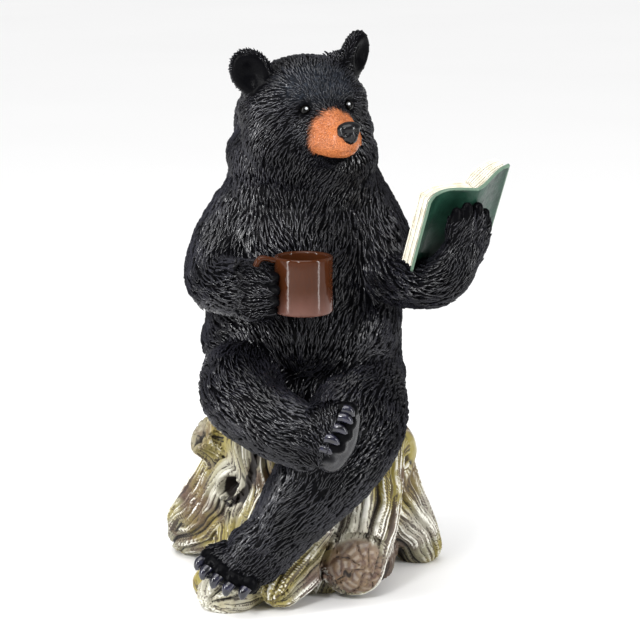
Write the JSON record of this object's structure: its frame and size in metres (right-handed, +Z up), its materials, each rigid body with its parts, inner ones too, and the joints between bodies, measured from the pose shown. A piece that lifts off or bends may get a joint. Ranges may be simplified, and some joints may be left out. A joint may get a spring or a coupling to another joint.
{
  "type": "animal figurine",
  "caption": "Cast black bear figurine seated cross-legged on a flared tree stump, holding a mug in one paw and an open book in the other.",
  "frame": {"origin": "centre of the stump's underside, on the surface it stands on", "axes": "+Z up, -Y to the front, the side the bear faces, +X to the bear's left, where it holds the book"},
  "size_m": [0.1228, 0.1199, 0.1985],
  "materials": {
    "black_fur": "black painted resin fur with a soft gloss, brown muzzle",
    "weathered_wood": "resin painted as weathered olive, grey and brown wood",
    "brown_glaze": "glossy brown paint",
    "green_cover": "dark green painted cover with cream leaves"
  },
  "bodies": {
    "root": {"bear_figure": "black_fur", "stump_base": "weathered_wood", "coffee_mug": "brown_glaze", "open_book": "green_cover"}
  },
  "joints": []
}
